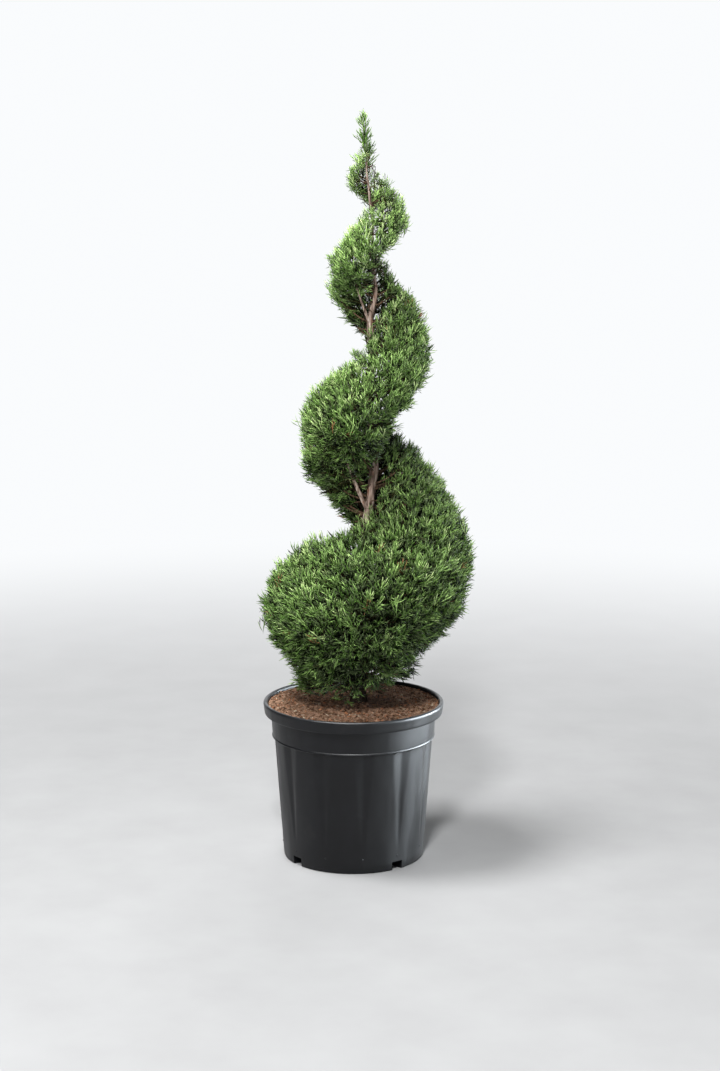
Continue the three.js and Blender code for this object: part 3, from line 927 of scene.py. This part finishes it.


def make_stem():
    bm = bmesh.new()
    heights = np.linspace(STEM_FOOT, STEM_TOP, STEM_STEPS)
    sway = 0.0012 * np.sin(heights * 46) + 0.0008 * np.sin(heights * 91 + 1)
    centres = np.stack([stem_x(heights) + sway, 0.001 * np.sin(heights * 37), heights], 1)
    limb_mesh(bm, centres, stem_radius(heights), STEM_SIDES, STEM_RELIEF, seed=2.0)
    bmesh.ops.recalc_face_normals(bm, faces=bm.faces)
    for face in bm.faces:
        # Faces low on the stem take a darker copy of the bark: painted shade at the foot under the foliage.
        face.material_index = int(face.calc_center_median().z < SHADED_FOOT_HEIGHT)
    looks = [bark_material(), bark_material("shaded_foot_bark", 0.16, 0.0)]
    declare(object_from(bm, "stem_bark", looks), "bark", "trunk")


MAIN_LIMBS = [
    # node, foot height, azimuth in degrees, reach, rise, foot radius
    ("bough_lower", 0.684, 212, 0.064, 0.136, 0.0046),
    ("bough_upper", 1.050, 212, 0.046, 0.115, 0.0030),
]


def make_main_limbs():
    for node, foot, azimuth, reach, rise, radius in MAIN_LIMBS:
        angle = math.radians(azimuth)
        out = np.array([math.cos(angle), math.sin(angle), 0])
        start = np.array([stem_x(foot), 0, foot])
        end = start + out * reach + np.array([0, 0, rise])
        middle = start + out * reach * 0.52 + np.array([0, 0, rise * 0.42])
        path = bent(start, middle, end, np.linspace(0, 1, LIMB_STEPS)[:, None])
        radii = np.linspace(radius, radius * 0.35, LIMB_STEPS)
        bm = bmesh.new()
        limb_mesh(bm, path, radii, LIMB_SIDES, LIMB_RELIEF, seed=foot * 10)
        bmesh.ops.recalc_face_normals(bm, faces=bm.faces)
        declare(object_from(bm, node + "_bark", [bark_material()]), "bark", node)


# ---------------------------------------------------------------- growth

class Surface:
    """The clipped surface as a fine grid, from which even random points are drawn."""

    def __init__(self, turns, shares):
        self.turn_edges = np.linspace(*SKIN_TURNS, turns)
        self.share_edges = np.linspace(0.0, 1.0, shares)
        turn, share = np.meshgrid(self.turn_edges, self.share_edges, indexing="ij")
        points = clipped_surface(turn, share)
        along = points[1:, :-1] - points[:-1, :-1]
        up = points[:-1, 1:] - points[:-1, :-1]
        facing = np.cross(along, up)
        area = np.linalg.norm(facing, axis=2)
        middle = points[:-1, :-1, 2]
        area[(middle < FOLIAGE_FOOT) | (middle > FOLIAGE_TOP)] = 0
        self.chance = (area / area.sum()).ravel()
        self.shape = area.shape

    def draw(self, rng, count):
        cells = rng.choice(len(self.chance), count, p=self.chance)
        i, j = np.unravel_index(cells, self.shape)
        turn = self.turn_edges[i] + rng.uniform(0, 1, count) * (self.turn_edges[1] - self.turn_edges[0])
        share = self.share_edges[j] + rng.uniform(0, 1, count) * (self.share_edges[1] - self.share_edges[0])
        return turn, np.clip(share, 0.001, 0.999)


def facing_at(turn, share):
    step = 0.004
    here = clipped_surface(turn, share)
    along = clipped_surface(turn + step, share) - here
    side = np.where(share < 0.5, step, -step)
    up = (clipped_surface(turn, share + side) - here) * np.sign(side)[:, None]
    normal = np.cross(along, up)
    normal /= np.linalg.norm(normal, axis=1, keepdims=True) + 1e-12
    return here, normal


def spaced(points, spacing, rng):
    """Indices of points, one at most in each cube of the spacing."""
    order = rng.permutation(len(points))
    cells = np.floor(points[order] / spacing + 1000).astype(np.int64)
    keys = (cells[:, 0] * 10007 + cells[:, 1]) * 10007 + cells[:, 2]
    _, first = np.unique(keys, return_index=True)
    return order[np.sort(first)]


def nearest(points, others, chunk=800):
    index = np.empty(len(points), int)
    for i in range(0, len(points), chunk):
        gap = ((points[i : i + chunk, None] - others[None]) ** 2).sum(2)
        index[i : i + chunk] = gap.argmin(1)
    return index


def quarter_of(turn):
    """Which of the CAD's sixteen quarter turns a turn belongs to."""
    return np.clip(np.floor((turn + 1.625) * 4).astype(int), 0, 15)


BOUGH_TRIES = 9000  # points drawn before they are thinned to the spacing, as below
BOUGH_SPACING = 0.050
BOUGH_INSET = 0.42
TWIG_TRIES = 30000
TWIG_SPACING = 0.020
TWIG_TIP = 0.0006
SPRAY_TRIES = 160000
SPRAY_SPACING = 0.0113
CLUMPING = 0.30
TUFT_STEP = 0.0045
BARE_DEPTH = 0.022  # no sprays end nearer to the stem than this
INNER_TRIES = 140000
INNER_SPACING = 0.0185
INNER_COVER = 0.012  # inner sprays end at least this far inside the surface
QUARTER_NAMES = [f"turn{coil}_{side}" for coil in range(1, 5) for side in ("right", "back", "left", "front")]
UP = np.array([0, 0, 1.0])


def stem_middle(z):
    return np.stack([stem_x(z), np.zeros(len(z)), z], 1)


def from_stem(points):
    """How far points stand from the stem's middle, level."""
    return np.linalg.norm(points - stem_middle(points[:, 2]), axis=1)


def grow_boughs(rng, skin):
    """Boughs run from the stem to points inside the coils. Twigs may leave them at the nodes."""
    turn, share = skin.draw(rng, BOUGH_TRIES)
    tip = clipped_surface(turn, share, BOUGH_INSET)
    keep = spaced(tip, BOUGH_SPACING, rng)
    turn, tip = turn[keep], tip[keep]
    azimuth = azimuth_of(turn)
    low = np.maximum(groove_height(turn), FOLIAGE_FOOT - 0.02)
    span = np.hypot(tip[:, 0] - stem_x(tip[:, 2]), tip[:, 1])
    foot_z = np.maximum(tip[:, 2] - 0.55 * span, low + 0.035)
    foot_z = np.minimum(foot_z, tip[:, 2] + 0.01)
    foot = stem_middle(foot_z)
    out = np.stack([np.cos(azimuth), np.sin(azimuth), np.zeros(len(azimuth))], 1)
    elbow = foot + out * span[:, None] * 0.6 + UP * ((tip[:, 2] - foot_z) * 0.25)[:, None]
    thick = 0.0016 + 0.018 * span
    nodes = bent(foot, elbow, tip, np.linspace(0.35, 1, 6)[:, None, None])
    return tubes(foot, elbow, tip, thick, thick * 0.45, 6, 6), nodes.reshape(-1, 3)


def grow_twigs(rng, skin, nodes):
    """Twigs leave the boughs and stop short of the surface."""
    turn, share = skin.draw(rng, TWIG_TRIES)
    here, normal = facing_at(turn, share)
    deep = np.minimum(0.036 + 0.010 * rng.uniform(-1, 1, len(turn)), from_stem(here) * 0.6)
    tip = here - growing_way(here, normal) * deep[:, None]
    tip = tip[spaced(tip, TWIG_SPACING, rng)]
    source = nodes[nearest(tip, nodes)]
    bend = (source + tip) / 2 - UP * 0.004 + rng.normal(0, 0.004, tip.shape)
    size = 0.0009 + 0.010 * np.linalg.norm(tip - source, axis=1)
    return tubes(source, bend, tip, size, np.full(len(tip), TWIG_TIP), 2, 3), bend, tip


def grow_sprays(rng, skin, bend, tip):
    """Sprays leave the outer part of each twig and end at the surface."""
    turn, share = skin.draw(rng, SPRAY_TRIES)
    here, normal = facing_at(turn, share)
    clothed = from_stem(here) >= BARE_DEPTH
    turn, here, normal = turn[clothed], here[clothed], normal[clothed]
    keep = spaced(here, SPRAY_SPACING, rng)
    turn, here, normal = turn[keep], here[keep], normal[keep]
    count = len(turn)
    over = rng.normal(0.0, 0.0035, count)
    over += np.where(rng.random(count) < 0.08, rng.uniform(0.001, 0.009, count), 0)
    # The side cords stand out past a spray's tip, so it ends below the surface, and most in the thin lips.
    set_in = 0.0045 + np.where(normal[:, 2] < 0, -0.010, 0.002) * normal[:, 2]
    goal = here + normal * (over - set_in)[:, None] + rng.normal(0, 0.003, here.shape)
    owner = nearest(goal - growing_way(here, normal) * 0.03, tip)
    # The sprays of one twig draw together, and each tuft stands a little proud or a little back.
    tally = np.bincount(owner, minlength=len(tip))[:, None] + 1e-9
    centre = np.stack([np.bincount(owner, goal[:, k], len(tip)) for k in range(3)], 1) / tally
    goal += (centre[owner] - goal) * CLUMPING
    goal += normal * (rng.normal(0, TUFT_STEP, len(tip))[owner])[:, None]
    pull = rng.uniform(0, 0.4, count)[:, None]
    base = tip[owner] * (1 - pull) + bend[owner] * pull
    axis = unit(goal - base) + growing_way(here, normal) * 0.5 + rng.normal(0, 0.32, base.shape)
    axis = unit(axis)
    longest = np.clip(from_stem(goal) * 0.75, 0.020, 0.050)
    length = np.clip(np.linalg.norm(goal - base, axis=1), 0.6 * longest, longest)
    return turn, here, normal, goal - axis * length[:, None], axis, length, over


def grow_inner_sprays(rng, skin):
    """Older sprays stand further in, and shade the inside. Their dark colours are painted shade."""
    turn, share = skin.draw(rng, INNER_TRIES)
    thick = (share > 0.16) & (share < 0.84)
    turn, share = turn[thick], share[thick]
    inset = rng.uniform(0.2, 0.88, len(turn))
    base = clipped_surface(turn, share, inset)
    room = from_stem(base)
    cover = room * inset / (1 - inset)
    keep = (room > 0.013) & (cover > 0.037)
    base, cover = base[keep], cover[keep]
    keep = spaced(base, INNER_SPACING, rng)
    base, cover = base[keep], cover[keep]
    outwards = unit(base - stem_middle(base[:, 2]))
    axis = unit(outwards + UP * 0.6 + rng.normal(0, 0.5, base.shape))
    length = np.clip(cover * 0.95, 0.028, 0.050)
    # Each is shortened until it lies well inside the surface.
    for _ in range(3):
        stands_out = cover_at(base + axis * length[:, None]) < INNER_COVER
        length = np.where(stands_out, length * 0.72, length)
    keep = cover_at(base + axis * length[:, None]) > INNER_COVER
    return base[keep], axis[keep], length[keep]


def growing_way(here, normal):
    """Shoots turn up as they grow out, more so towards the top, and less where they hang below a ridge."""
    rise = 0.85 + 0.55 * (here[:, 2] - 0.3)
    rise = rise * (1 + np.minimum(0, normal[:, 2] * 1.1))
    return unit(normal + UP * rise[:, None])


OUTER_FORMS = 14
INNER_FORMS = 6
LEADER_FORMS = 5
LEADER_SPRAYS = 34
CORD_RADIUS = 0.026  # of a spray's length
INNER_CORD_RADIUS = 0.046
LEADER_CORD_RADIUS = 0.036
SPRAY_FLATNESS = np.array([[1.0, 0.9, 1.0]])
LEAF_COLOURS = [
    ("leaf_shade", srgb(16, 24, 10)),
    ("leaf_grey_green", srgb(94, 110, 74)),
    ("leaf_deep_green", srgb(86, 118, 54)),
    ("leaf_mid_green", srgb(116, 142, 84)),
    ("leaf_bright_green", srgb(138, 172, 96)),
    ("leaf_fresh_green", srgb(162, 194, 116)),
    ("leaf_pale_tip", srgb(192, 214, 146)),
    ("leaf_brown", srgb(152, 112, 76)),
    # A green-brown for the inner sprays, partly the shoots' own tone and partly darkened as painted shade.
    ("shoot_green_brown", srgb(50, 50, 28)),
]
LEAF_SHADE, FRESH_GREEN, LEAF_BROWN, GREEN_BROWN = 0, 5, 7, 8
WITHERED_SHARE = 0.004
INNER_LAYERS = [("low", 0.50), ("middle", 0.70), ("high", PLANT_TOP)]  # each reaches up to the height
WITHERED = np.array([
    [0.070, -0.050, 1.066], [0.066, -0.056, 1.074], [0.016, -0.206, 0.545], [-0.13, -0.12, 0.47],
])
FRESH_SHOOT = np.array([[0.012, -0.050, 1.105], [0.010, -0.045, 1.120]])


def deal_colours(rng, z, over, normal, azimuth):
    """A colour for each spray: greyer and darker low down and paler towards the top, with painted light on
    proud sprays and those facing up, and painted shade on recessed ones and those facing down.
    """
    patch = np.sin(azimuth * 3 + z * 27) * 0.5 + np.sin(azimuth * 7 - z * 61 + 2) * 0.35
    # Paler higher up, and varied by patches and by chance; proud sprays are paler and recessed ones darker,
    # as painted light and shade.
    tone_and_light = (z - 0.30) / 1.1 * 1.2 + over * 70 + patch * 0.35 + rng.normal(0, 0.85, len(z))
    # Painted light and shade: sprays that face up are paler, and those that face down are darker.
    tone_and_light += np.where(normal[:, 2] < 0, 0.5, 0.2) * normal[:, 2]
    steps = np.array([-0.35, 0.25, 0.75, 1.35, 2.0, 2.75])
    kinds = np.searchsorted(steps, tone_and_light)
    return np.where(rng.random(len(z)) < WITHERED_SHARE, LEAF_BROWN, kinds)


def make_outer_sprays(rng, sprays, looks):
    turn, here, normal, base, axis, length, over = sprays
    forms = [spray_form(rng, 5, 3, CORD_RADIUS) for _ in range(OUTER_FORMS)]
    count = len(turn)
    picks = rng.integers(0, len(forms), count)
    kinds = deal_colours(rng, here[:, 2], over, normal, azimuth_of(turn))
    # A few withered sprigs, and one fresh shoot beside the upper fork.
    kinds[nearest(WITHERED, here)] = LEAF_BROWN
    kinds[nearest(FRESH_SHOOT, here)] = FRESH_GREEN
    # The flat side of a spray looks outwards more often than not.
    frames = turned_frames(axis, rng.normal(0, 0.75, count))
    scales = length[:, None] * SPRAY_FLATNESS
    quarters = quarter_of(turn)
    for index, node in enumerate(QUARTER_NAMES):
        mine = quarters == index
        arrays = scatter(forms, picks[mine], frames[mine], scales[mine], base[mine], kinds[mine])
        declare(object_from_arrays("sprays_" + node, *arrays, looks), "foliage", node)


def make_inner_sprays(rng, sprays, looks):
    base, axis, length = sprays
    forms = [spray_form(rng, 3, 0, INNER_CORD_RADIUS) for _ in range(INNER_FORMS)]
    count = len(base)
    frames = turned_frames(axis, rng.uniform(0, 2 * math.pi, count))
    # Nearly all take the leaf shade or a dark green-brown: painted shade that keeps the gaps between sprays
    # dark.
    kinds = rng.choice([LEAF_SHADE, GREEN_BROWN], count, p=[0.72, 0.28])
    picks = rng.integers(0, len(forms), count)
    scales = length[:, None] * SPRAY_FLATNESS
    layer = np.searchsorted([height for _, height in INNER_LAYERS], base[:, 2])
    for index, (name, _) in enumerate(INNER_LAYERS):
        mine = layer == index
        arrays = scatter(forms, picks[mine], frames[mine], scales[mine], base[mine], kinds[mine])
        declare(object_from_arrays("inner_sprays_" + name, *arrays, looks), "foliage")


def make_foliage():
    rng = np.random.default_rng(94)
    skin = Surface(900, 90)
    boughs, nodes = grow_boughs(rng, skin)
    twigs, bend, tip = grow_twigs(rng, skin, nodes)
    outer = grow_sprays(rng, skin, bend, tip)
    inner = grow_inner_sprays(rng, skin)
    bark = twig_material()
    for name, (points, faces) in (("inner_boughs", boughs), ("twigs", twigs)):
        declare(object_from_arrays(name, points, faces, np.zeros(len(faces), int), [bark]), "bark")
    looks = [leaf_material(name, colour) for name, colour in LEAF_COLOURS]
    make_outer_sprays(rng, outer, looks)
    make_inner_sprays(rng, inner, looks)


def make_leader():
    """The leading shoot: short upright sprays along the top of the stem that end in a sparse pale fork."""
    rng = np.random.default_rng(7)
    count = LEADER_SPRAYS
    z = rng.uniform(LEADER_FOOT - 0.01, 1.452, count)
    share = (z - LEADER_FOOT) / (PLANT_TOP - LEADER_FOOT)
    angle = rng.uniform(0, 2 * math.pi, count)
    spread = (0.85 - 0.55 * share) * rng.uniform(0.3, 1.0, count)
    axis = np.stack([spread * np.cos(angle), spread * np.sin(angle), np.ones(count)], 1)
    length = np.clip((0.040 - 0.018 * share) * rng.uniform(0.7, 1.1, count), 0.01, 0.05)
    length = np.minimum(length, (PLANT_TOP + 0.002 - z) * 1.05)
    base = stem_middle(z)
    forms = [spray_form(rng, 4, 1, LEADER_CORD_RADIUS) for _ in range(LEADER_FORMS)]
    frames = turned_frames(axis, rng.uniform(0, 2 * math.pi, count))
    kinds = np.where(share > 0.6, rng.integers(2, 5, count), rng.integers(1, 4, count))
    looks = [leaf_material("leader_" + name, colour) for name, colour in LEAF_COLOURS]
    scales = np.repeat(length[:, None], 3, 1)
    arrays = scatter(forms, rng.integers(0, len(forms), count), frames, scales, base, kinds)
    declare(object_from_arrays("leader_sprays", *arrays, looks), "foliage", "leader_shoot")


make_soil()
make_crumbs()
make_stem()
make_main_limbs()
make_foliage()
make_leader()
